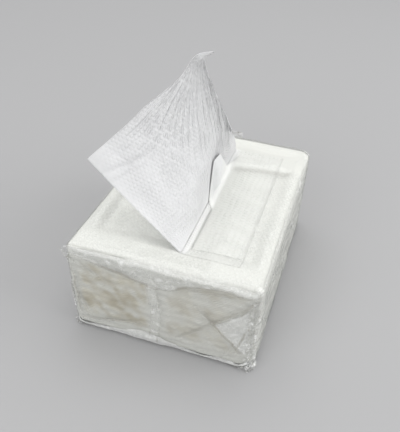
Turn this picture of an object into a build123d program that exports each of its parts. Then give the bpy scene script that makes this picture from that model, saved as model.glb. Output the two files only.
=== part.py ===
from build123d import *
import math
import os

# Soft pack of interfolded facial tissues in a clear film wrapper, one sheet drawn up through the slot.
# Millimetres. X runs across the near end, Y along the slot towards the back, Z up.
# The origin is the centre of the film's base.

# Pack, measured over the film
pack_width = 100.0
pack_length = 132.0
pack_height = 57.0
upright_edge_radius = 7.0
top_edge_radius = 4.5
base_edge_bevel = 2.0

# Film wrapper, with the layers that lie on each other at the folded ends
film_thickness = 0.3
end_layers = 3
side_clearance = 0.3
seal_height = 36.0
seal_width = 4.5
seal_bottom = 7.0
seal_offset = 4.0
seal_rib_pitch = 2.0
seal_rib_height = 0.2
tuck_crease_width = 0.5
tuck_crease_depth = 0.12
ear_reach = 13.0
ear_layers = 2
lap_seal_offset = 9.0
lap_groove_width = 0.6
lap_groove_depth = 0.12

# Shallow dish that the taut film leaves in the top, inside a soft rim
dish_depth = 2.2
dish_side_margin = 8.0
dish_end_margin = 9.5
dish_corner_radius = 9.0
dish_slope_degrees = 35.0
dish_rim_radius = 3.0

# Stack of folded tissues: grooves mark the bundles of folds round its sides
bundle_count = 12
bundle_groove_depth = 0.4
bundle_groove_height = 0.5

# One tissue as it is cut, its thickness with the embossing, and the air between two sheets
sheet_thickness = 0.3
sheet_gap = 0.3

# Slot in the film's top, where the sheets stand up
sheet_line = 5.0
slot_front_inset = 14.0
slot_back_inset = 16.0
slot_end_margin = 2.0
slot_left_margin = 3.0
bend_radius = 4.0
flap_clearance = 4.8

# Free edge of the pulled tissue: X from the sheet line, Y, and height over the pack's top
front_corner = (-54.5, -36.0, 30.5)
front_edge_middle = (-28.0, -22.0, 58.0)
front_edge_neck = (-14.0, -12.0, 72.5)
peak = (-6.5, -8.0, 82.0)
back_edge_neck = (-4.0, -3.5, 68.0)
back_edge_middle = (0.5, 6.0, 50.5)
back_corner = (4.0, 15.0, 32.0)

# How much of its height the pulled tissue stands upright before it turns towards its free edge,
# and how its front edge leans out at once and sags instead
foot_rise = 2.0
front_rise_share = 0.07
quarter_rise_share = 0.25
peak_rise_share = 0.55
back_rise_share = 0.5
front_lean = 0.6
front_sag = 7.0

# Gathers that run down from the peak, and how close to it and to the slot they fade
front_gather_depth = 0.3
back_gather_depth = 1.0
gather_count = 5
gather_reach = 30.0
gather_foot_share = 0.3

# Flat facets that each standing sheet is folded into, along its free edge and up from the slot
front_panels = 16
back_panels = 14
fall_runs = 11
next_panels = 12
next_runs = 3

# Free edge of the next tissue: lean from the pulled one, and heights over the bend
next_inset = 8.0
next_lean = 3.0
next_end_height = 3.0
next_crest_height = 15.0
next_crest_place = 0.58

# Heights that follow
half_length = pack_length / 2
half_width = pack_width / 2
layer_step = sheet_thickness + sheet_gap
sheet_room = 2 * layer_step
stack_base = film_thickness
stack_top = pack_height - film_thickness - sheet_room
flap_level = stack_top - dish_depth + sheet_thickness
dish_floor_half_width = half_width - dish_side_margin - dish_depth
dish_floor_half_length = half_length - dish_end_margin - dish_depth
slot_front = slot_front_inset - half_length
slot_back = half_length - slot_back_inset
flap_width = dish_floor_half_width - flap_clearance - sheet_line


def soft_block(width, length, base, top, edge_growth):
    """Block with rounded upright edges, a bevelled base and the dish in its top."""
    plan = RectangleRounded(width, length, upright_edge_radius + edge_growth)
    block = extrude(Plane.XY.offset(base) * plan, top - base)
    block = chamfer(block.faces().sort_by(Axis.Z)[0].edges(), base_edge_bevel)
    dish_floor = RectangleRounded(2 * dish_floor_half_width, 2 * dish_floor_half_length, dish_corner_radius)
    floor_plane = Plane.XY.offset(top - dish_depth)
    return block - extrude(floor_plane * dish_floor, 2 * dish_depth, taper=dish_slope_degrees - 90)


def slot_opening():
    """Long slot with round ends, cut down through the film's top."""
    width = slot_left_margin + bend_radius
    length = slot_back - slot_front + 2 * slot_end_margin
    middle_x = sheet_line + (bend_radius - slot_left_margin) / 2
    centre = Location((middle_x, (slot_front + slot_back) / 2, 0))
    outline = Plane.XY.offset(flap_level) * centre * Rot(0, 0, 90) * SlotOverall(length, width)
    return extrude(outline, pack_height)


def tuck_notches():
    """Shallow triangles at the head and foot of the end, where the tucked film shows past the flaps."""
    reach = half_width - upright_edge_radius
    seal_top = seal_bottom + seal_height
    head = Polyline((-reach, pack_height), (0, seal_top), (reach, pack_height), close=True)
    foot = Polyline((-reach, 0), (0, seal_bottom), (reach, 0), close=True)
    end_plane = Plane.XZ.offset(half_length - film_thickness)
    return extrude(end_plane * Sketch([make_face(head), make_face(foot)]), 2 * film_thickness)


def tuck_creases():
    """Lines at 45 degrees where the edges of the tucked triangles show through the flaps."""
    run = (half_width - upright_edge_radius) * 2**0.5
    creases = []
    for side in (-1, 1):
        for corner_z, turn in ((pack_height, 1), (0, -1)):
            middle = Location((side * half_width / 2, corner_z - turn * half_width / 2, 0))
            creases.append(middle * Rot(0, 0, side * turn * 45) * Rectangle(run, tuck_crease_width))
    end_plane = Plane.XZ.offset(half_length - tuck_crease_depth)
    return extrude(end_plane * Sketch(creases), 2 * tuck_crease_depth)


def end_seal():
    """Fin seal folded flat on the end, with its crimped ribs."""
    end_plane = Plane.XZ.offset(half_length - film_thickness)
    middle = Location((-seal_offset, seal_bottom + seal_height / 2, 0))
    fin = extrude(end_plane * middle * Rectangle(seal_width, seal_height), 2 * film_thickness)
    rib = Rectangle(seal_width, seal_rib_pitch / 2)
    rib_count = int(seal_height / seal_rib_pitch) - 1
    ribs = Sketch(GridLocations(0, seal_rib_pitch, 1, rib_count) * rib)
    return fin + extrude(end_plane * middle * ribs, 2 * film_thickness + seal_rib_height)


def corner_ears():
    """Flat ears of folded film at the two bottom corners of the end."""
    tip = 1.0
    ears = []
    for side in (-1, 1):
        outline = Polyline(
            (side * (half_width - ear_reach), -half_length + base_edge_bevel),
            (side * (half_width - tip), -half_length + tip),
            (side * (half_width - base_edge_bevel), -half_length + ear_reach),
            close=True,
        )
        ears.append(make_face(outline))
    return extrude(Sketch(ears), ear_layers * film_thickness)


def round_top(block, radius):
    """Round the outer edges of a block's top."""
    top = block.faces().filter_by(Plane.XY).sort_by(Axis.Z)[-1]
    return fillet(top.outer_wire().edges(), radius)


def film_wrapper():
    cavity_base = film_thickness
    outside = round_top(soft_block(pack_width, pack_length, 0, pack_height, 0), top_edge_radius)
    rim = outside.faces().filter_by(Plane.XY).sort_by(Axis.Z)[-1].inner_wires()[0].edges()
    outside = fillet(rim, dish_rim_radius)
    inside = soft_block(
        pack_width - 2 * film_thickness,
        pack_length - 2 * end_layers * film_thickness,
        cavity_base,
        pack_height - film_thickness,
        -film_thickness,
    )
    inside = round_top(inside, top_edge_radius - film_thickness)
    film = outside - inside - slot_opening()
    for turn in (0, 180):
        end = Rot(0, 0, turn)
        film = film - end * tuck_notches() - end * tuck_creases()
        film = film + end * end_seal() + (end * corner_ears() - inside)
    lap_groove = Location((lap_seal_offset, 0, 0)) * Box(
        lap_groove_width, pack_length, 2 * lap_groove_depth
    )
    return film - lap_groove


def bundle_grooves(width, length):
    """Grooves along the straight sides of the stack, where one bundle of folds meets the next."""
    first = stack_base + base_edge_bevel
    step = (stack_top - top_edge_radius - first) / bundle_count
    side = Box(2 * bundle_groove_depth, length - 2 * upright_edge_radius, bundle_groove_height)
    end = Box(width - 2 * upright_edge_radius, 2 * bundle_groove_depth, bundle_groove_height)
    grooves = []
    for bundle in range(1, bundle_count):
        for turn in (-1, 1):
            grooves.append(Location((turn * width / 2, 0, first + step * bundle)) * side)
            grooves.append(Location((0, turn * length / 2, first + step * bundle)) * end)
    return grooves


def tissue_stack():
    margin = film_thickness + side_clearance
    end_margin = end_layers * film_thickness + side_clearance
    width = pack_width - 2 * margin
    length = pack_length - 2 * end_margin
    stack = soft_block(width, length, stack_base, stack_top, -margin)
    top = stack.faces().filter_by(Plane.XY).sort_by(Axis.Z)[-1]
    stack = chamfer(top.outer_wire().edges(), top_edge_radius - margin)
    return stack - bundle_grooves(width, length)


def graded(share, stops):
    """Value at share, in straight steps between the (share, value) stops."""
    for (low, low_value), (high, high_value) in zip(stops, stops[1:]):
        if share <= high:
            return low_value + (high_value - low_value) * (share - low) / (high - low)
    return stops[-1][1]


def free_edge_point(place):
    """Point of the pulled tissue's free edge, from its place beside the sheet line and over the top."""
    return Vector(sheet_line + place[0], place[1], pack_height + place[2])


def root_strip(front, back, line, level, radius):
    """Flat flap that lies on the stack, and the bend that turns it up into the slot."""
    outer_radius = radius + sheet_thickness
    quarter = Rectangle(outer_radius, outer_radius, align=(Align.MAX, Align.MAX))
    bend = Location((line + radius, level + radius, 0)) * (Circle(outer_radius) - Circle(radius) & quarter)
    flat = Rectangle(flap_width - radius, sheet_thickness, align=(Align.MIN, Align.MAX))
    flap = Location((line + radius, level, 0)) * flat
    return extrude(Plane.XZ.offset(-back) * (bend + flap), back - front)


def flat_facets(rows):
    """Triangles between neighbouring rows of points."""
    facets = []
    for low, high in zip(rows, rows[1:]):
        for a, b, c, d in zip(low, low[1:], high[1:], high):
            facets += [Face(Wire.make_polygon(corners)) for corners in ((a, b, c), (a, c, d))]
    return facets


def standing_sheet(rows, runs):
    """Sheet standing in the slot. A row is its fall line, its edge's direction there and its ripple."""
    uppers, lowers = [], []
    for fall_line, edge_direction, ripple in rows:
        upper, lower = [], []
        for height in (step / runs for step in range(runs + 1)):
            across = Vector(0, 1, 0) * (1 - height) + edge_direction * height
            into_sheet = (fall_line % height).cross(across).normalized()
            upper.append(fall_line @ height + into_sheet * ripple(height))
            lower.append(upper[-1] + into_sheet * sheet_thickness)
        uppers.append(upper)
        lowers.append(lower)
    rings = [upper + lower[::-1] + upper[:1] for upper, lower in zip(uppers, lowers)]
    ends = flat_facets([lowers[0], uppers[0]]) + flat_facets([uppers[-1], lowers[-1]])
    return Solid(Shell(flat_facets(rings) + ends))


def pulled_tissue():
    """Free edge from the front corner up to the peak and down to the back corner, then to the slot."""
    front = Spline(*[free_edge_point(p) for p in (front_corner, front_edge_middle, front_edge_neck, peak)])
    back = Spline(*[free_edge_point(p) for p in (peak, back_edge_neck, back_edge_middle, back_corner)])
    edge_length = front.length + back.length
    peak_share = front.length / edge_length
    rise_shares = [(0, front_rise_share), (0.25, quarter_rise_share), (peak_share, peak_rise_share),
                   (1, back_rise_share)]
    leans = [(0, front_lean), (0.25, 0), (1, 0)]
    gathers = [(peak_share, front_gather_depth), (1, back_gather_depth)]

    def row(share, top, edge_direction):
        foot = Vector(sheet_line, slot_front + (slot_back - slot_front) * share, flap_level + bend_radius)
        upright = foot + Vector(0, 0, foot_rise)
        lean = graded(share, leans)
        rise = graded(share, rise_shares) * (top.Z - pack_height)
        turn = foot + (top - foot) * lean + Vector(0, 0, rise - front_sag * lean)

        def ripple(height):
            run = (share - peak_share) * edge_length
            drop = (1 - height) * (top.Z - foot.Z)
            fade = min(1, math.hypot(run, drop) / gather_reach, height / gather_foot_share)
            return graded(share, gathers) * fade * math.sin(2 * gather_count * math.atan2(drop, run))

        return Bezier(foot, upright, turn, top), edge_direction, ripple

    rows = [row(peak_share * place, front @ place, front % place)
            for place in (step / front_panels for step in range(front_panels))]
    rows += [row(peak_share + (1 - peak_share) * place, back @ place, back % place)
             for place in (step / back_panels for step in range(back_panels + 1))]
    root = root_strip(slot_front, slot_back, sheet_line, flap_level, bend_radius)
    return root + standing_sheet(rows, fall_runs)


def next_tissue():
    """Sheet under the pulled one's flap, whose free edge the pulled one has dragged up beside it."""
    line = sheet_line + layer_step
    level = flap_level + layer_step
    radius = bend_radius - layer_step
    front = slot_front + next_inset
    back = slot_back - next_inset
    foot_level = level + radius
    free_edge = Spline(
        (line, front, foot_level + next_end_height),
        (line + next_lean, front + (back - front) * next_crest_place, foot_level + next_crest_height),
        (line, back, foot_level + next_end_height),
    )
    rows = []
    for place in (step / next_panels for step in range(next_panels + 1)):
        top = free_edge @ place
        foot = Vector(line, front + (back - front) * place, foot_level)
        upright = foot + Vector(0, 0, next_end_height / 2)
        rows.append((Bezier(foot, upright, top), free_edge % place, lambda height: 0))
    return root_strip(front, back, line, level, radius) + standing_sheet(rows, next_runs)


def build():
    os.makedirs("parts", exist_ok=True)
    pieces = {
        "film_wrapper": film_wrapper(),
        "tissue_stack": tissue_stack(),
        "pulled_tissue": pulled_tissue(),
        "next_tissue": next_tissue(),
    }
    for name, piece in pieces.items():
        export_step(piece, f"parts/{name}.step")


if __name__ == "__main__":
    build()
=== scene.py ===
import math
import bmesh
import bpy
import numpy as np
from mathutils import Matrix, Vector


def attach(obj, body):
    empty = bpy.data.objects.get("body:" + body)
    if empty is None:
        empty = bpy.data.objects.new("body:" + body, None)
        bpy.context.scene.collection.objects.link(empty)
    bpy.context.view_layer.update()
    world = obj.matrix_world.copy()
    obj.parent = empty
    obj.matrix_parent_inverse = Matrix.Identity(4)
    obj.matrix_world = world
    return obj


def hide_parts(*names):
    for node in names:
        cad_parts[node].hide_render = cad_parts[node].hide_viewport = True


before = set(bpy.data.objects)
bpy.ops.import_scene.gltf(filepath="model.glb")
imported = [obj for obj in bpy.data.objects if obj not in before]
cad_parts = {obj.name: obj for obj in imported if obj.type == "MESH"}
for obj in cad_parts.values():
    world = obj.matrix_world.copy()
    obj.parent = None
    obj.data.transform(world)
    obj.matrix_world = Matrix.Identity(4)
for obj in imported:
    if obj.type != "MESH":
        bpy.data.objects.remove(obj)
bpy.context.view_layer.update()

mm = 0.001  # shapes are worked out in millimetres and stored in metres


def smooth(low, high, x):
    t = np.clip((x - low) / (high - low), 0, 1)
    return t * t * (3 - 2 * t)


def hump(x, width):
    return np.exp(-(x / width) ** 2)


def waves(a, b, length, seed, count=7):
    # soft random relief of that wavelength over two coordinates
    rng = np.random.default_rng(seed)
    total = 0
    for step in range(count):
        turn, phase = rng.uniform(0, 2 * math.pi, 2)
        reach = length * rng.uniform(0.65, 1.5)
        along = a * math.cos(turn) + b * math.sin(turn)
        total = total + np.sin(along * 2 * math.pi / reach + phase)
    return total / math.sqrt(count)


def fromSegment(a, b, start, end):
    # distance from the line between two points, and the share along it
    along = np.array(end, float) - np.array(start, float)
    share = np.clip(((a - start[0]) * along[0] + (b - start[1]) * along[1]) / (along @ along), 0, 1)
    return np.hypot(a - start[0] - share * along[0], b - start[1] - share * along[1]), share


def creased(a, b, lines, bend=0.0, seed=1):
    # sum of narrow ridges along lines given as (start, end, width, height)
    total = np.zeros_like(a)
    sway = bend * waves(a, b, 9, seed)
    for start, end, width, height in lines:
        distance, share = fromSegment(a + sway, b + sway, start, end)
        ends = np.sin(np.clip(share, 0.04, 0.96) * math.pi) ** 0.5
        total += height * hump(distance, width) * ends
    return total


def throughPoints(points, shares):
    # smooth line through the points, at shares of its length
    points = np.array(points, float)
    steps = np.linalg.norm(np.diff(points, axis=0), axis=1)
    places = np.concatenate([[0], np.cumsum(steps)]) / steps.sum()
    slopes = np.gradient(points, places, axis=0)
    index = np.clip(np.searchsorted(places, shares) - 1, 0, len(points) - 2)
    width = (places[index + 1] - places[index])[:, None]
    t = (shares - places[index])[:, None] / width
    return (
        (1 + 2 * t) * (1 - t) ** 2 * points[index]
        + t * (1 - t) ** 2 * width * slopes[index]
        + t * t * (3 - 2 * t) * points[index + 1]
        + t * t * (t - 1) * width * slopes[index + 1]
    )


class Field:
    # a value or colour in a material, with arithmetic
    def __init__(self, finish, socket):
        self.finish = finish
        self.socket = socket

    def __add__(self, other):
        return self.finish.maths("ADD", self, other)

    def __radd__(self, other):
        return self.finish.maths("ADD", other, self)

    def __sub__(self, other):
        return self.finish.maths("SUBTRACT", self, other)

    def __rsub__(self, other):
        return self.finish.maths("SUBTRACT", other, self)

    def __mul__(self, other):
        return self.finish.maths("MULTIPLY", self, other)

    def __rmul__(self, other):
        return self.finish.maths("MULTIPLY", other, self)

    def __truediv__(self, other):
        return self.finish.maths("DIVIDE", self, other)

    def __rtruediv__(self, other):
        return self.finish.maths("DIVIDE", other, self)


class Finish:
    # one procedural material
    def __init__(self, name):
        self.material = bpy.data.materials.new(name)
        self.material.use_nodes = True
        self.tree = self.material.node_tree
        self.tree.nodes.clear()

    def add(self, kind, settings=None, inputs=None, output=0):
        node = self.tree.nodes.new(kind)
        for key, value in (settings or {}).items():
            setattr(node, key, value)
        for key, value in (inputs or {}).items():
            if isinstance(value, Field):
                self.tree.links.new(value.socket, node.inputs[key])
            else:
                node.inputs[key].default_value = value
        return Field(self, node.outputs[output])

    def maths(self, operation, *values):
        return self.add("ShaderNodeMath", {"operation": operation}, dict(enumerate(values)))

    def place(self, axis):
        # object coordinate in millimetres
        coordinates = self.add("ShaderNodeTexCoord", output="Object")
        return self.add("ShaderNodeSeparateXYZ", inputs={0: coordinates}, output=axis) * 1000

    def point(self, scale):
        coordinates = self.add("ShaderNodeTexCoord", output="Object")
        return self.add("ShaderNodeMapping", {}, {"Vector": coordinates, "Scale": scale})

    def attribute(self, name, output="Fac"):
        return self.add("ShaderNodeAttribute", {"attribute_name": name}, output=output)

    def noise(self, vector, scale, detail=2, roughness=0.5):
        inputs = {"Vector": vector, "Scale": scale, "Detail": detail, "Roughness": roughness}
        return self.add("ShaderNodeTexNoise", {}, inputs)

    def ramp(self, value, low, high, start=0.0, end=1.0):
        inputs = {"Value": value, "From Min": low, "From Max": high, "To Min": start, "To Max": end}
        return self.add("ShaderNodeMapRange", {"interpolation_type": "SMOOTHSTEP"}, inputs)

    def wave(self, value, length):
        return self.maths("SINE", value * (2 * math.pi / length))

    def mix(self, share, first, second):
        return self.add("ShaderNodeMix", {"data_type": "RGBA"}, {0: share, 6: first, 7: second}, 2)

    def bump(self, height, distance, normal=None):
        inputs = {"Height": height, "Distance": distance * mm, "Strength": 1.0}
        if normal:
            inputs["Normal"] = normal
        return self.add("ShaderNodeBump", {}, inputs)

    def dots(self, a, b, pitch, size):
        # rows of raised dots, each row half a step beside the last
        shift = self.maths("MODULO", self.maths("FLOOR", b / pitch), 2.0) * 0.5
        across = self.maths("FRACT", a / pitch + shift) - 0.5
        along = self.maths("FRACT", b / pitch) - 0.5
        spread = self.maths("SQRT", across * across + along * along)
        return self.ramp(spread, size, size * 0.35)

    def close(self, surface):
        node = self.tree.nodes.new("ShaderNodeOutputMaterial")
        self.tree.links.new(surface.socket, node.inputs["Surface"])
        return self.material


def shapeObject(name, bm, points, finish, node):
    for vertex, point in zip(bm.verts, points * mm):
        vertex.co = point
    mesh = bpy.data.meshes.new(name)
    bmesh.ops.recalc_face_normals(bm, faces=bm.faces[:])
    bm.to_mesh(mesh)
    bm.free()
    mesh.shade_smooth()
    mesh.materials.append(finish)
    piece = bpy.data.objects.new(name, mesh)
    bpy.context.scene.collection.objects.link(piece)
    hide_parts(node)
    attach(piece, "root")
    return piece


def addAttribute(piece, name, values):
    # a number, or a point, for every vertex
    values = np.asarray(values, np.float32)
    kind, field = ("FLOAT", "value") if values.ndim == 1 else ("FLOAT_VECTOR", "vector")
    piece.data.attributes.new(name, kind, "POINT").data.foreach_set(field, values.ravel())


# the pack's block, with x across the near end and y along the slot
pack = {
    "half": (50.0, 66.0),  # half its width and length
    "height": 57.0,
    "radius": 6.5,  # of the upright corners
    "nearLeft": -4.4,  # what three of those corners add to it
    "nearRight": 3.4,
    "farRight": 0.6,
    "topRadius": 4.5,  # of the rim, less at the back and more on the right
    "rimChange": 1.8,
    "baseRadius": 2.6,
    "dish": 2.1,  # how deep the top sinks inside its rim
    "slot": (-52.0, 50.0),  # its ends along y
}


def topDrop(x, y):
    # how far the top sinks inside its rim: deeper beside the slot, less on the strip at the back
    halfWidth, halfLength = pack["half"]
    sideways = halfWidth - np.abs(x) + 0.5 * waves(x, y, 40, 3)
    front = halfLength + y + 0.6 * waves(x, y, 35, 4)
    back = halfLength - y
    inside = smooth(6, 12.5, sideways) * smooth(14, 21, front) * smooth(8, 14, back)
    step = smooth(28, 39, y + 0.0035 * (x - 44) ** 2 - 2) * smooth(-4, 6, x)
    trough = hump(x - 9, 6.5) * smooth(-57, -40, y) * smooth(12, -6, y)
    lip = hump(x - 1, 4) * smooth(-60, -48, y) * smooth(56, 46, y)
    return inside * (pack["dish"] - 1.5 * step) + 1.1 * trough - 0.4 * lip


def stackLevel(x, y):
    # top of the stack, with a shallow bed for the flaps that lie on it under the film
    bed = smooth(0, 3, borderOf(x, y, pulled)) * smooth(3, 7, x)
    return pack["height"] - stack["inset"][2] - topDrop(x, y) - stack["bed"] * bed


def borderOf(x, y, sheet):
    # how far inside a sheet's flap a point lies
    start, end = sheet["slot"]
    return np.minimum(np.minimum(y - start, end - y), sheet["line"] + sheet["flap"] - x)


def makeBlock(inset, cuts):
    # rounded block, smaller than the pack by an inset (side, end, top, base): its points, their
    # directions outward, and which of them are on the flat top
    bm = bmesh.new()
    bmesh.ops.create_cube(bm, size=2)
    bmesh.ops.subdivide_edges(bm, edges=bm.edges[:], cuts=cuts, use_grid_fill=True)
    cube = np.array([v.co for v in bm.verts])
    side, end, top, base = inset
    low = np.array([-pack["half"][0] + side, -pack["half"][1] + end, base])
    high = np.array([pack["half"][0] - side, pack["half"][1] - end, pack["height"] - top])
    outer = low + (cube + 1) / 2 * (high - low)
    toLeft, toRight = smooth(0, -1, cube[:, 0]), smooth(0, 1, cube[:, 0])
    toFront, toBack = smooth(0, -1, cube[:, 1]), smooth(0, 1, cube[:, 1])
    rounding = pack["radius"] + pack["nearLeft"] * toLeft * toFront * smooth(-1.6, 0.6, cube[:, 2])
    rounding = rounding + pack["nearRight"] * toRight * toFront * smooth(0.9, -0.8, cube[:, 2])
    rounding = rounding + pack["farRight"] * toRight * toBack
    atBack = smooth(0.5, 0.95, cube[:, 1])
    atRight = smooth(0.4, 0.9, cube[:, 0]) * smooth(1, 0.4, cube[:, 1])
    rim = pack["topRadius"] - top * 0.5 - pack["rimChange"] * atBack + pack["rimChange"] * atRight
    radius = np.empty_like(outer)
    radius[:, 0] = rounding - side
    radius[:, 1] = rounding - end
    radius[:, 2] = np.where(cube[:, 2] > 0, rim, pack["baseRadius"])
    inner = np.clip(outer, low + radius, high - radius)
    away = (outer - inner) / radius
    away /= np.linalg.norm(away, axis=1)[:, None]
    return bm, inner + away * radius, away, cube[:, 2] > 0.999


film = {
    "inset": (0.1, 0.1, 0.1, 0.1),
    "cuts": 117,
    "slack": 0.2,  # how far it lies inside the pack's block
    "backRim": 0.6,  # how much higher its rim is at the back
    "slotSides": (4.2, 7.5),  # borders of the slot along x
    # how much further out they are: left at the front end, right from the nose back
    "slotWider": (3.0, 0.9),
    "sealLine": -3.4,  # where the upright seal runs
    "bandLine": 42.5,  # how high the folded band of the ends starts
    "clear": (0.985, 0.985, 0.98, 1),
    "white": (0.93, 0.94, 0.93, 1),  # its folds, and the painted shade beside them
    "paintedShadeColour": (0.42, 0.41, 0.37, 1),
    # creases in the ends, across and up, then in the top: (start, end, width, height)
    "endFolds": [
        ((46, 46.5), (6, 7), 0.85, 0.34), ((18, 38), (46, 8), 0.8, 0.32),
        ((-46, 5), (-7, 15), 0.85, 0.36), ((-47, 47), (-44, 6), 0.8, 0.34),
        ((-44, 45), (-30, 39), 0.8, 0.2), ((40, 20), (33, 4), 0.7, 0.2),
        ((46, 33), (39, 8), 0.7, 0.22), ((47, 50), (40, 36), 0.8, 0.25),
        ((-38, 50), (-8, 43), 0.7, 0.2), ((8, 46), (44, 50), 0.8, 0.3),
        ((-47, 30), (-38, 8), 0.7, 0.25),
    ],
    "topFolds": [
        ((5, -53), (-14, -64), 0.7, 0.3), ((5, -53), (22, -64), 0.8, 0.28),
        ((4, -54), (2, -65), 0.6, 0.2), ((8, -52), (40, -48), 0.9, 0.25),
        ((42, -46), (42.5, 34), 1.2, 0.14), ((45.5, -50), (46, 40), 0.9, 0.1),
        ((-46, -60), (-44, -10), 0.5, 0.3), ((-43.5, -58), (-42, 5), 0.5, 0.25),
        ((-41, -62), (-39.5, -30), 0.5, 0.2), ((7, 50), (12, 64), 0.6, 0.25),
        ((5, 51), (-6, 64), 0.6, 0.25), ((40, 36), (47, 60), 0.8, 0.25),
        ((30, 40), (46, 50), 0.8, 0.2),
    ],
    # loose bits: (cuts, crumple, seed, four corners)
    "flaps": [
        # near right ear in two layers, near left ear and the corner above it
        (16, 0.7, 51, (36, -65.2, 0.4), (49.2, -53, 0.4), (50.4, -64.5, 1.6), (47.5, -67.0, 1.0)),
        (14, 0.6, 53, (38, -65.6, 0.8), (48.9, -58, 6), (51, -63.5, 3.8), (48, -67.0, 2.6)),
        (14, 0.5, 55, (-38, -65.2, 0.4), (-49.2, -55, 0.4), (-50.4, -63.8, 1.2), (-47.5, -66.6, 0.9)),
        (14, 0.5, 57, (-45, -65.3, 45), (-49.8, -59, 51.5), (-52.4, -66.0, 53.4), (-50.0, -67.6, 49.5)),
        # far ears, the tab behind the slot and a flap at the right side
        (12, 0.5, 59, (38, 65.2, 0.4), (49.2, 54, 0.4), (50.4, 64, 1.4), (47.5, 66.6, 1.0)),
        (12, 0.5, 61, (-38, 65.2, 0.4), (-49.2, 54, 0.4), (-50.4, 64, 1.4), (-47.5, 66.6, 1.0)),
        (12, 0.6, 63, (-2.5, 64.6, 55.2), (5.5, 64.6, 55.2), (5.0, 66.8, 58.4), (-1.5, 66.8, 58.9)),
        (10, 0.4, 65, (49.6, 4, 44), (49.8, 16, 40), (51.4, 11, 36), (50.6, 6, 39)),
    ],
}


def endFolds(x, z):
    # what the film's folds do on the pack's end, seen with x to the right
    sealLine = film["sealLine"] + 1.2 * np.sin((z - 10) / 34 * math.pi * 1.5)
    sealLine = sealLine + 0.4 * waves(z, z, 7, 11)
    seal = smooth(2.6, 1.9, np.abs(x - sealLine)) * smooth(2, 4, z) * smooth(46, 43, z)
    bandLine = film["bandLine"] + 9.0 * (np.abs(x + 2) / 47) ** 1.1
    bandLine = bandLine + 3.2 * smooth(2, 14, x) * smooth(46, 30, x)
    aboveBand = z - bandLine - 0.6 * waves(x, z, 14, 12)
    band = smooth(-0.5, 0.8, aboveBand)
    footLine = 8.5 - 4.5 * smooth(4, 22, np.abs(x + 8)) + 0.5 * waves(x, z, 12, 13)
    foot = smooth(0.6, -0.6, z - footLine)
    wedge = smooth(-0.4, 0.5, (x - 28) - 1.05 * np.abs(z - 27.5)) * smooth(47, 43, x)
    return {
        "seal": seal, "band": band, "foot": foot, "wedge": wedge,
        "ridges": creased(x, z, film["endFolds"], 0.4, 14),
        # the creases moved aside, and the edges of the seal and the band, for the painted shade beside
        # them
        "shades": creased(x + 0.5, z - 0.7, film["endFolds"], 0.4, 14),
        "sealEdge": hump(np.abs(x - sealLine) - 2.4, 0.45) * smooth(2, 4, z) * smooth(46, 43, z),
        "bandEdge": hump(aboveBand, 0.7) * smooth(-48, -44, x) * smooth(48, 44, x),
    }


def filmRelief(points, away):
    # outward movement of the film, how white its folds are, the painted shade beside its folds and
    # wrinkles and on the step at the back of the top, and where it is crumpled
    x, y, z = points.T
    front = smooth(0.55, 0.9, -away[:, 1])
    back = smooth(0.55, 0.9, away[:, 1])
    right = smooth(0.5, 0.9, away[:, 0])
    left = smooth(0.5, 0.9, -away[:, 0])
    top = smooth(0.5, 0.9, away[:, 2])
    move, milk, paintedShade = np.zeros_like(x), np.zeros_like(x), np.zeros_like(x)
    for share, side in ((front, 1), (back, -1)):
        end = endFolds(side * x, z)
        crumple = 0.22 * waves(side * x, z, 13, 21) + 0.05 * waves(x, z, 5, 22)
        steps = 0.55 * end["seal"] + 0.3 * end["band"] + 0.3 * end["foot"]
        move += share * (steps + end["ridges"] + crumple)
        layers = np.maximum(0.26 * end["seal"], np.maximum(0.3 * end["band"], 0.5 * end["foot"]))
        wisps = smooth(0.6, 1.7, waves(x * 0.6 + z, z * 0.25 - x, 7, 23))
        milk += share * (layers + 0.4 * end["wedge"])
        milk += share * (0.35 * end["ridges"] + 0.2 * wisps)
        # painted shade beside the creases and along the edges of the seal and the band
        paintedShade += share * (2.3 * end["shades"] + 0.45 * end["sealEdge"] + 0.5 * end["bandEdge"])
    # long wrinkles along the sides, and short ones down the upright corners
    streaks = waves(z * 2.2, y * 0.12, 5, 31) * 0.2 + waves(z * 3.5, y * 0.3, 4, 32) * 0.1
    move += (left + right) * streaks
    milk += (left + right) * (0.14 + 0.16 * smooth(0.1, 0.5, streaks))
    # painted shade in the hollows of the side wrinkles
    paintedShade += (left + right) * 0.2 * smooth(-0.15, -0.45, streaks)
    corner = smooth(0.2, 0.5, np.abs(away[:, 0])) * smooth(0.2, 0.5, np.abs(away[:, 1]))
    folds = waves(x * 1.4 + y * 1.4 + 0.15 * z, z * 0.08, 4, 33)
    move += corner * 0.28 * folds
    milk += corner * (0.16 + 0.2 * smooth(0.3, 1.3, folds))
    # painted shade in the hollows of the corner folds
    paintedShade += corner * 0.25 * smooth(-0.4, -1.3, folds)
    rim = smooth(0.2, 0.6, away[:, 2]) * smooth(0.98, 0.75, away[:, 2])
    move += rim * (waves(x, y, 9, 34) * 0.07)
    milk += rim * 0.16
    # painted shade on the step at the back of the top
    onStep = hump(y - 34 + 0.0035 * (x - 44) ** 2, 3.6) * smooth(4, 12, x) * smooth(46, 40, x)
    paintedShade += top * 0.36 * onStep
    topFolds = creased(x, y, film["topFolds"], 0.5, 39)
    move += top * (0.12 * waves(x, y, 16, 37) + topFolds)
    milk += top * 0.8 * np.abs(topFolds)
    crumpled = corner * 0.5 + rim * 0.04 + (front + back) * 0.22 + (left + right) * 0.3
    return move, np.clip(milk, 0, 1), np.clip(paintedShade, 0, 1), np.clip(crumpled, 0, 1)


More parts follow.
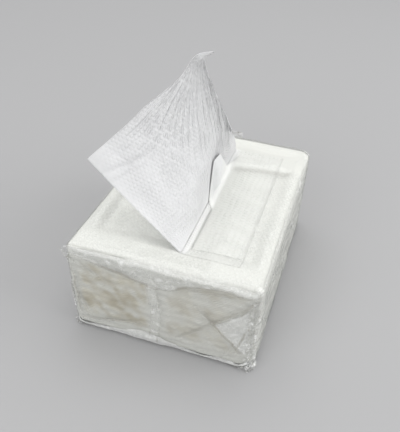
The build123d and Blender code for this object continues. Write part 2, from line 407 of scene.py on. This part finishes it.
def filmMaterial():
    m = Finish("clearFilm")
    milk, paintedShade, crumpled = m.attribute("milk"), m.attribute("paintedShade"), m.attribute("crumpled")
    fine = m.noise(m.point((300, 300, 420)), 1.0, 3, 0.6)
    broad = m.noise(m.point((90, 90, 130)), 1.0, 3, 0.55)
    normal = m.bump(fine, 0.04, m.bump(broad * (crumpled + 0.12), 0.55))
    # thin wrinkle lines where two noises cross their middle: white ones, and dark ones of painted shade
    wrinkle = m.noise(m.point((150, 55, 170)), 1.0, 3, 0.65)
    shade = m.noise(m.point((120, 70, 210)), 1.0, 3, 0.65)
    whiteLines = m.ramp(m.maths("ABSOLUTE", wrinkle - 0.5), 0.028, 0.0) * crumpled
    paintedShadeLines = m.ramp(m.maths("ABSOLUTE", shade - 0.5), 0.018, 0.0) * crumpled
    facing = m.add("ShaderNodeLayerWeight", {}, {"Blend": 0.35, "Normal": normal}, "Fresnel")
    white = m.ramp(milk + (broad - 0.5) * 0.16 + whiteLines * 0.5, 0.05, 0.9, 0.0, 0.75)
    # painted shade of the folds, the wrinkles and the step, as a grey veil in the film
    paintedShadeAmount = m.maths("MINIMUM", paintedShade * 0.65 + paintedShadeLines * 0.55, 0.6)
    surface = m.add("ShaderNodeBsdfPrincipled", {}, {
        "Base Color": m.mix(m.ramp(paintedShadeAmount, 0.05, 0.35), film["white"], film["paintedShadeColour"]),
        "Roughness": 0.16, "IOR": 1.5,
        "Metallic": m.ramp(white + paintedShadeAmount, 0.0, 0.3, 0.85, 0.0), "Normal": normal})
    clear = m.add("ShaderNodeBsdfTransparent", {}, {"Color": film["clear"]})
    share = m.maths("MINIMUM", facing * 0.5 + 0.03 + white + paintedShadeAmount * 0.8, 0.9)
    return m.close(m.add("ShaderNodeMixShader", {}, {0: share, 1: clear, 2: surface}))


def flapGrid(bm, cuts, crumple, seed, *corners):
    # small patch of loose film between four corners, crumpled
    made = bmesh.ops.create_grid(bm, x_segments=cuts, y_segments=cuts, size=0.5)["verts"]
    unit = np.array([v.co for v in made]) + 0.5
    u, v = unit[:, 0:1], unit[:, 1:2]
    a, b, c, d = (np.array(corner, float) for corner in corners)
    points = (1 - u) * (1 - v) * a + u * (1 - v) * b + u * v * c + (1 - u) * v * d
    across = np.cross(b - a, d - a)
    across /= np.linalg.norm(across)
    place = unit[:, :2].T * 10
    relief = waves(*place, 4.5, seed) + 0.5 * waves(*place, 2, seed + 1)
    return points + across * (relief * crumple * smooth(0.1, 0.5, v[:, 0]))[:, None]


def inSlot(centre):
    # whether a face of the film is cut out for the slot
    (start, end), (left, right), wider = pack["slot"], film["slotSides"], film["slotWider"]
    left = left - wider[0] * smooth(-47.5, -49.5, centre.y)
    right = right + wider[1] * smooth(-12, -9, centre.y)
    return left < centre.x < right and start - 0.6 < centre.y < end + 0.6 and centre.z > 50


def makeFilm():
    bm, points, away, onTop = makeBlock(film["inset"], film["cuts"])
    move, milk, paintedShade, crumpled = filmRelief(points, away)
    x, y = points[:, 0], points[:, 1]
    move = np.maximum(move, -0.22 - 0.3 * away[:, 1] ** 2)  # the stack holds the film out
    points = points + away * (move - film["slack"])[:, None]
    points[:, 2] += film["backRim"] * hump(y - 60, 5) * onTop
    points[:, 2] -= topDrop(x, y) * onTop
    flaps = [flapGrid(bm, *flap) for flap in film["flaps"]]
    points = np.concatenate([points] + flaps)
    points[:, 2] = np.maximum(points[:, 2], 0.02)  # nothing hangs below the base
    loose = len(points) - len(milk)
    values = {
        "milk": np.concatenate([milk, np.full(loose, 0.14)]),
        "paintedShade": np.concatenate([paintedShade, np.zeros(loose)]),
        "crumpled": np.concatenate([crumpled, np.ones(loose)]),
    }
    for vertex, point in zip(bm.verts, points):
        vertex.co = point
    slotFaces = [face for face in bm.faces if inSlot(face.calc_center_median())]
    for name, numbers in values.items():
        layer = bm.verts.layers.float.new(name)
        for vertex, value in zip(bm.verts, numbers):
            vertex[layer] = value
    bmesh.ops.delete(bm, geom=slotFaces, context="FACES")
    points = np.array([v.co for v in bm.verts])
    return shapeObject("clearFilm", bm, points, filmMaterial(), "film_wrapper")


stack = {
    "inset": (0.75, 1.1, 0.8, 0.7),
    "cuts": 112,
    "bed": 0.85,  # how deep the sheets' flaps lie in its top
    "dots": 2.2,  # pitch of the embossing
    "layer": 0.95,  # height of a sheet's folds, and of a bundle of them
    "bundle": 4.4,
    "top": ((0.86, 0.865, 0.835, 1), (0.895, 0.90, 0.875, 1)),  # between the dots, and with painted light on them
    "sides": ((0.76, 0.765, 0.735, 1), (0.60, 0.60, 0.555, 1)),  # on the folds, and with painted shade between them
    "warm": ((0.70, 0.68, 0.60, 1), (0.51, 0.475, 0.385, 1)),  # pale and brown at the ends
}


def stackTint(points, away):
    # how warm the ends are where they show through the film, and where the top isn't embossed
    x, y, z = points.T
    tint = np.zeros_like(x)
    for share, side in ((smooth(0.6, 0.95, -away[:, 1]), 1), (smooth(0.6, 0.95, away[:, 1]), -1)):
        a = side * x
        end = endFolds(a, z)
        blotches = 0.5 + 0.5 * np.clip(waves(a, z, 15, 71) + 0.45 * waves(a, z, 6, 72), -1, 1)
        leftZone = smooth(-47, -40, a) * smooth(-5, -10, a) * smooth(6, 15, z) * smooth(50, 42, z)
        rightZone = smooth(0, 5, a) * smooth(48, 36, a) * smooth(5, 14, z)
        warm = leftZone * (0.25 + 0.75 * blotches)
        warm = warm + rightZone * (0.22 + 0.3 * blotches) * (1 - 0.6 * end["wedge"])
        tint += share * warm * (1 - 0.7 * end["band"]) * (1 - 0.8 * end["foot"])
    plain = hump(x - 12, 7) * smooth(-58, -44, y) * smooth(12, -6, y) + smooth(34, 40, y)
    return tint, np.clip(plain, 0, 1)


def stackMaterial():
    m = Finish("foldedTissue")
    x, y, z = m.place(0), m.place(1), m.place(2)
    turned = m.add("ShaderNodeNewGeometry", output="Normal")
    up = m.add("ShaderNodeSeparateXYZ", inputs={0: turned}, output=2)
    onTop = m.ramp(up, 0.55, 0.85)
    patches = m.noise(m.point((60, 60, 60)), 1.0, 2)
    dots = m.dots(x, y, stack["dots"], 0.46) * onTop * (1 - m.attribute("plain") * 0.9)
    dots = dots * m.ramp(patches, 0.3, 0.6, 0.6, 1.0)
    level = z + m.noise(m.point((45, 45, 30)), 1.0, 2) * 3.2
    layers = m.wave(level, stack["layer"])
    bundles = m.wave(level, stack["bundle"])
    sides = 1 - onTop
    fibre = m.noise(m.point((900, 900, 900)), 1.0, 3, 0.6)
    normal = m.bump(dots * 0.9 + sides * (layers * 0.35 + bundles * 0.5) + fibre * 0.1, 0.3)
    brown = m.noise(m.point((75, 75, 120)), 1.0, 3, 0.5)
    warm = m.mix(m.ramp(brown, 0.3, 0.7), *stack["warm"])
    # painted light on the raised dots
    top = m.mix(m.ramp(dots, 0.0, 0.8), *stack["top"])
    # painted shade in the grooves between the folds
    side = m.mix(m.ramp(layers, 0.2, -0.9) * 0.3, *stack["sides"])
    colour = m.mix(m.ramp(m.attribute("tint"), 0.0, 1.0), m.mix(sides, top, side), warm)
    surface = m.add("ShaderNodeBsdfPrincipled", {}, {
        "Base Color": colour, "Roughness": 0.9, "Specular IOR Level": 0.2, "Normal": normal})
    return m.close(surface)


def makeStack():
    bm, points, away, onTop = makeBlock(stack["inset"], stack["cuts"])
    x, y, z = points.T
    tint, plain = stackTint(points, away)
    sides = smooth(0.6, 0.95, np.hypot(away[:, 0], away[:, 1]))
    points = points + away * (sides * (0.12 * waves(x + y, z * 2.5, 9, 74) - 0.1))[:, None]
    points[:, 2] -= (pack["height"] - stack["inset"][2] - stackLevel(x, y)) * onTop
    material = stackMaterial()
    piece = shapeObject("foldedStack", bm, points, material, "tissue_stack")
    addAttribute(piece, "tint", tint)
    addAttribute(piece, "plain", plain)
    return piece


pulled = {
    "flat": (0.133, 0.126),
    "columns": 250,
    "rows": 160,
    "slot": (-52.0, 50.0),  # the part of the slot that it fills
    "line": 5.0,  # where it stands across the slot
    "bend": 4.0,  # radius of the bend up into the slot
    "flap": 30.0,  # how far its hidden flap reaches from that line
    "flapEnd": 0.1,  # shares of its rows at which the flap and the bend end
    "bendEnd": 0.16,
    "top": 55.2,  # height at which it leaves the slot
    "peak": (-1.4, -8, 139.0),  # where its gathers start
    "peakShare": 0.575,  # of the free edge
    "curl": (5.5, 0.5, 1.2),  # of the tip
    "stepBack": 0.45,  # how far the lower back half lies behind its upright fold
    "colour": (0.88, 0.88, 0.885, 1),
    "hollowShade": (0.825, 0.83, 0.838, 1),  # painted shade in its hollows
    # free edge from the front corner over the peak to the back corner, height from the pack's top
    "edge": [
        (-49.5, -36, 30.4), (-40.5, -31.5, 39.6), (-31, -26.5, 49.4), (-23.2, -22, 58.3),
        (-14.8, -17, 65.8), (-11.2, -14.5, 69.3), (-8.7, -12, 72.7), (-6.8, -10.5, 76.4),
        (-4.4, -9, 80), (-1.4, -8, 82), (-0.7, -6.5, 75.7), (0, -5, 71.2), (1.9, -2.5, 66.3),
        (2.9, 0, 61.2), (4.3, 3, 55.7), (5.8, 6, 50.1), (6.9, 9, 44.2), (8, 12, 38.2),
        (9.2, 15, 32),
    ],
    # by share of that edge, where the middle of a row's curve is drawn: its height over the slot,
    # its share of the way to the edge, and what the front adds to its height
    "rise": ([0, 0.25, 0.55, 0.8, 1], [3, 14, 45, 26, 14]),
    "lean": ([0, 0.25, 0.55, 0.68, 0.8, 0.92, 1], [0.6, 0, 0.15, 0.6, 0.68, 0.6, 0.25]),
    "frontLean": ([0, 0.25], [0.6, 0]),
    # by place along the slot, the height over the pack's top under which the back half steps back
    "overhang": ([-6, -4, 0, 6, 19, 29], [31, 30, 28, 24, 9, 0]),
    # (place along the free edge, distance from it) of both ends, width, height
    "creases": [
        ((0, 11), (30, 18), 1.3, -1.1), ((2, 14.5), (22, 19.5), 1.0, 0.5),
        ((10, 52), (32, 50), 0.6, 0.35), ((9, 56), (32, 54), 0.6, 0.35),
        ((34, 2), (50, 18), 0.9, 0.3), ((12, 3), (16, 20), 0.8, -0.3),
    ],
}


def freeEdge(u):
    return throughPoints(pulled["edge"], u) + [0, 0, pack["height"]]


def footLevel(foot):
    # height at which the sheet leaves the slot, over the stack's rim at the slot's front end
    return np.maximum(pulled["top"], stackLevel(pulled["line"], foot) + 0.45)


def pulledPoints(u, v):
    # standing part, as curves from the slot to the free edge, with the share along them
    foot = pulled["slot"][0] + (pulled["slot"][1] - pulled["slot"][0]) * u
    base = np.stack([np.full_like(u, pulled["line"]), foot, footLevel(foot)], axis=1)
    top = freeEdge(u)
    t = np.clip((v - pulled["bendEnd"]) / (1 - pulled["bendEnd"]), 0, 1)
    rise, lean, frontLean = (np.interp(u, *pulled[name]) for name in ("rise", "lean", "frontLean"))
    control = base + lean[:, None] * (top - base)
    control[:, 2] = base[:, 2] + rise + frontLean * (top[:, 2] - base[:, 2] - 7)
    firm = 1 + 1.2 * smooth(0.03, 0.2, u) * smooth(0.62, 0.45, u)
    s = t[:, None]
    weight = firm[:, None]
    whole = (1 - s) ** 2 + 2 * weight * s * (1 - s) + s * s
    points = ((1 - s) ** 2 * base + 2 * weight * s * (1 - s) * control + s * s * top) / whole
    # the standing part bulges over the slot
    low = 2.6 * smooth(0.05, 0.3, u) * smooth(0.85, 0.45, u) * (1 - t) * 2.4
    high = 0.9 * smooth(0.5, 0.75, u) * smooth(1.02, 0.9, u)
    points[:, 0] += (low + high) * t * t * (1 - t) * 6.75
    return points, t, foot


def sheetGrid(sheet):
    # flat grid with the shares u along the slot and v from the hidden edge to the free one
    bm = bmesh.new()
    bmesh.ops.create_grid(bm, x_segments=sheet["columns"], y_segments=sheet["rows"], size=0.5)
    unit = np.array([v.co for v in bm.verts]) + 0.5
    return bm, unit[:, 0], unit[:, 1]


def sheetNormals(points, columns, rows):
    grid = points.reshape(rows + 1, columns + 1, 3)
    normal = np.cross(np.gradient(grid, axis=1), np.gradient(grid, axis=0))
    normal /= np.maximum(np.linalg.norm(normal, axis=2), 1e-9)[:, :, None]
    return normal.reshape(-1, 3)


def sheetMaterial(name, sheet):
    m = Finish(name)
    place = m.attribute("flat", "Vector")
    a = m.add("ShaderNodeSeparateXYZ", inputs={0: place}, output=0)
    b = m.add("ShaderNodeSeparateXYZ", inputs={0: place}, output=1)
    standing = m.attribute("standing")
    patches = m.noise(m.point((70, 70, 70)), 1.0, 2)
    dots = m.dots(a, b, stack["dots"], 0.5) * m.ramp(patches, 0.3, 0.6, 0.5, 1.0)
    dots = dots * m.attribute("embossed")
    stretched = m.add("ShaderNodeMapping", {}, {"Vector": place, "Scale": (0.14, 0.42, 1)})
    rows = m.noise(stretched, 1.0, 3, 0.55)
    fibre = m.noise(m.point((1100, 1100, 1100)), 1.0, 3, 0.6)
    cockle = m.noise(m.point((190, 190, 190)), 1.0, 3, 0.6)
    sway = m.noise(m.point((60, 60, 60)), 1.0, 2)
    fan = m.attribute("fan")
    streaks = m.wave(fan + sway * 3.0, 1.9) * 0.5 + m.wave(fan + sway * 6.0, 3.3) * 0.5
    broad = m.wave(fan + sway * 4.0, 6.5) * m.attribute("neck") * 1.5
    streaks = (streaks + broad) * m.attribute("gathered")
    normal = m.bump(dots * 0.8 + rows * 1.0 + fibre * 0.12 + cockle * 0.5 + streaks * 1.5, 0.4)
    # painted light on the raised rows, dots and gathers, painted shade in the hollows between them
    light = m.ramp(rows, 0.35, 0.7) * 0.4 + m.ramp(dots, 0.0, 0.6) * 0.3
    light = light + m.ramp(streaks, -0.5, 0.5) * 0.3
    tone = m.mix(light, sheet["hollowShade"], sheet["colour"])
    tone = m.mix(standing, (0.88, 0.885, 0.86, 1), tone)  # the flap under the film
    paper = m.add("ShaderNodeBsdfPrincipled", {}, {
        "Base Color": tone, "Roughness": 0.92, "Specular IOR Level": 0.15, "Normal": normal})
    through = m.add("ShaderNodeBsdfTranslucent", {}, {"Color": sheet["colour"], "Normal": normal})
    return m.close(m.add("ShaderNodeMixShader", {}, {0: standing * 0.26, 1: paper, 2: through}))


def thicken(piece, share):
    # sheet's thickness, thinner where share is low
    group = piece.vertex_groups.new(name="thickness")
    for index, value in enumerate(share):
        group.add([index], float(value), "REPLACE")
    solid = piece.modifiers.new("thickness", "SOLIDIFY")
    solid.thickness = 0.3 * mm
    solid.offset = 0
    solid.vertex_group = "thickness"
    solid.thickness_vertex_group = 0.04


def makePulled():
    bm, u, v = sheetGrid(pulled)
    points, t, foot = pulledPoints(u, v)
    order = np.lexsort((np.round(u, 6), np.round(v, 6)))
    normals = np.empty_like(points)
    normals[order] = sheetNormals(points[order], pulled["columns"], pulled["rows"])
    # gathers that run down from the peak, pinched at it and at the slot
    peak = np.array(pulled["peak"])
    down = np.maximum(peak[2] - points[:, 2], 0.4)
    fan = np.arctan2(points[:, 1] - peak[1] + 0.45 * (points[:, 0] - peak[0]), down)
    reach = np.linalg.norm(points - peak, axis=1)
    fade = smooth(1, 9, reach) * smooth(0, 0.18, t)
    backHalf = smooth(0.47, 0.6, u)
    relief = fade * 0.16 * waves(fan * 60, reach * 0.05, 9, 82) * (0.3 + 0.7 * backHalf)
    cockle = 0.35 * waves(points[:, 0] + points[:, 1], points[:, 2], 16, 83) * smooth(0.05, 0.3, t)
    # crease across the front panel and two lines pressed in it
    frontHalf = smooth(0.5, 0.4, u)
    width = u * pulled["flat"][0] / mm
    length = np.linalg.norm(points - freeEdge(u), axis=1)
    pressed = creased(width, length, pulled["creases"], 0.6, 84) * frontHalf
    points = points + normals * (relief + cockle + pressed)[:, None]
    # lower back half, behind the upright fold
    overhang = np.interp(points[:, 1], *pulled["overhang"])
    height = points[:, 2] - pack["height"]
    behind = smooth(-4.6, -3.5, foot) * smooth(29, 25, foot)
    behind = behind * smooth(overhang + 3, overhang - 6, height)
    points[:, 0] -= pulled["stepBack"] * behind * (height > -3.3)
    # thin curl at the tip
    tip = hump(u - pulled["peakShare"], 0.0065) * smooth(0.965, 1, t)
    points += tip[:, None] * np.array(pulled["curl"])
    # flap under the film and the bend up into the slot
    line, radius = pulled["line"], pulled["bend"]
    flap = np.clip(v / pulled["flapEnd"], 0, 1)
    turn = np.clip((v - pulled["flapEnd"]) / (pulled["bendEnd"] - pulled["flapEnd"]), 0, 1)
    isRoot = v < pulled["bendEnd"]
    rootX = line + radius + (pulled["flap"] - radius) * (1 - flap) - radius * turn
    edge = smooth(0, 2.5, borderOf(rootX, foot, pulled))
    rootZ = stackLevel(rootX, foot) + 0.09 + 0.23 * edge
    rootZ = rootZ + (footLevel(foot) - 0.2 - rootZ) * turn * turn
    points[isRoot] = np.stack([rootX, foot, rootZ], axis=1)[isRoot]
    material = sheetMaterial("pulledTissue", pulled)
    piece = shapeObject("pulledSheet", bm, points, material, "pulled_tissue")
    embossed = smooth(0, 0.1, t) * smooth(0.02, 0.16, u + 0.002 * length)
    gathered = fade * np.clip(reach / 40, 0.22, 1) * smooth(85, 25, reach)
    gathered = gathered * (0.55 + 0.45 * backHalf)
    addAttribute(piece, "flat", np.stack([width, np.where(isRoot, rootX, length), 0 * u], axis=1))
    addAttribute(piece, "embossed", np.where(isRoot, 0.8, embossed))
    addAttribute(piece, "standing", smooth(0.09, 0.2, v))
    addAttribute(piece, "fan", fan * 57)  # nearly degrees
    addAttribute(piece, "neck", smooth(45, 20, reach))
    addAttribute(piece, "gathered", gathered)
    thicken(piece, np.where(isRoot, edge, 1))
    return piece


# the next tissue, which the pulled one has dragged up
following = {
    "flat": (0.086, 0.054),
    "columns": 140,
    "rows": 70,
    "slot": (-44.0, 42.0),
    "line": 5.75,
    "bend": 3.4,
    "flap": 28.4,
    "flapEnd": 0.35,
    "bendEnd": 0.5,
    "foot": 56.2,  # height at which it leaves the slot
    "rise": 22.6,  # of its upright nose
    "colour": (0.93, 0.93, 0.93, 1),
    # painted shade in its hollows
    "hollowShade": (0.88, 0.89, 0.89, 1),
}


def makeNext():
    bm, u, v = sheetGrid(following)
    line, radius = following["line"], following["bend"]
    flapEnd, bendEnd = following["flapEnd"], following["bendEnd"]
    start, end = following["slot"]
    foot = start + (end - start) * u
    flap = np.clip(v / flapEnd, 0, 1)
    t = np.clip((v - bendEnd) / (1 - bendEnd), 0, 1)
    # narrow upright fold with a nose at its front; the rest stays low
    raised = smooth(-6.5, -1.0, foot) * smooth(33, 4, foot)
    nose = smooth(-3.0, 2.0, foot) * smooth(14, 3, foot)
    height = 0.1 + following["rise"] * raised
    bent = 0.12 + 0.88 * smooth(-10.5, -4, foot) * smooth(40, 30, foot)
    turn = np.clip((v - flapEnd) / (bendEnd - flapEnd), 0, 1) * math.pi / 2 * bent
    x = line + radius + (following["flap"] - radius) * (1 - flap) - radius * np.sin(turn)
    # bulge across the slot, and what grows towards the free edge
    bulge = raised + 1.5 * nose - 0.9 * smooth(-7, -3, foot) * smooth(0.5, -2, foot)
    sway = 0.3 * raised * waves(foot, t * 14, 9, 91) - 0.5 * (1 - raised)
    x = x + smooth(0, 0.25, t) * (1 - 0.7 * smooth(0.72, 1, t)) * bulge + t * sway
    y = foot + t * 0.5 * np.sin(foot / 3)
    edge = smooth(0, 2.5, borderOf(x, foot, following))
    under = smooth(0, 2.5, borderOf(x, y, pulled))  # the pulled sheet's flap lies under this one
    z = stackLevel(x, y) + 0.15 + 0.44 * under + 0.17 * edge
    z = z + (following["foot"] - z) * (1 - np.cos(turn)) + t * height
    points = np.stack([x, y, z], axis=1)
    material = sheetMaterial("nextTissue", following)
    piece = shapeObject("nextSheet", bm, points, material, "next_tissue")
    addAttribute(piece, "flat", np.stack([foot, v * 50, 0 * u], axis=1))
    addAttribute(piece, "embossed", 1 - smooth(0.2, 0.4, v))
    addAttribute(piece, "standing", smooth(0.34, 0.55, v) * (0.15 + 0.85 * raised))
    thicken(piece, edge * np.where(v < 0.34, 1, np.maximum(raised, smooth(0.6, 0.4, v))))
    return piece


# floor, light and camera
stage = {
    "floorColour": (0.42, 0.42, 0.425, 1),
    "world": 0.72,
    "lamps": {
        "key": {"place": (-0.15, 0.35, 1.1), "size": 1.3, "power": 5.0},
        "right": {"place": (0.95, 0.1, 0.42), "size": 1.0, "power": 5.0},
        "near": {"place": (-0.3, -0.95, 0.45), "size": 1.0, "power": 4.2},
    },
    "camera": {
        "place": (0.07059, -0.24643, 0.24174),
        "right": (0.95037, 0.30862, 0.03929),
        "up": (-0.2211, 0.58115, 0.78318),
        "back": (0.21887, -0.753, 0.62055),
        "lens": 47.73,
    },
}


def makeStage():
    bm = bmesh.new()
    bmesh.ops.create_grid(bm, x_segments=1, y_segments=1, size=3)
    mesh = bpy.data.meshes.new("floor")
    bm.to_mesh(mesh)
    bm.free()
    m = Finish("floor")
    mesh.materials.append(m.close(m.add("ShaderNodeBsdfPrincipled", {}, {
        "Base Color": stage["floorColour"], "Roughness": 0.85, "Specular IOR Level": 0.1})))
    floor = bpy.data.objects.new("floor", mesh)
    bpy.context.scene.collection.objects.link(floor)
    world = bpy.data.worlds.new("studio")
    world.use_nodes = True
    background = world.node_tree.nodes["Background"]
    background.inputs["Color"].default_value = (1, 1, 1, 1)
    background.inputs["Strength"].default_value = stage["world"]
    bpy.context.scene.world = world
    for name, facts in stage["lamps"].items():
        lamp = bpy.data.lights.new(name, "AREA")
        lamp.shape = "DISK"
        lamp.size = facts["size"]
        lamp.energy = facts["power"]
        light = bpy.data.objects.new(name, lamp)
        light.location = facts["place"]
        light.rotation_mode = "QUATERNION"
        light.rotation_quaternion = (-Vector(facts["place"])).to_track_quat("-Z", "Y")
        bpy.context.scene.collection.objects.link(light)


def makeCamera():
    shot = stage["camera"]
    data = bpy.data.cameras.new("camera")
    data.lens = shot["lens"]
    data.sensor_width = 36
    data.clip_start = 0.01
    turn = Matrix((shot["right"], shot["up"], shot["back"])).transposed().to_quaternion()
    camera = bpy.data.objects.new("camera", data)
    camera.location = shot["place"]
    camera.rotation_mode = "QUATERNION"
    camera.rotation_quaternion = turn.normalized()
    bpy.context.scene.collection.objects.link(camera)
    bpy.context.scene.camera = camera


makeFilm()
print("film made")
makeStack()
print("stack made")
makePulled()
print("pulled tissue made")
makeNext()
print("next tissue made")
makeStage()
makeCamera()
bpy.context.scene.view_settings.view_transform = "Standard"
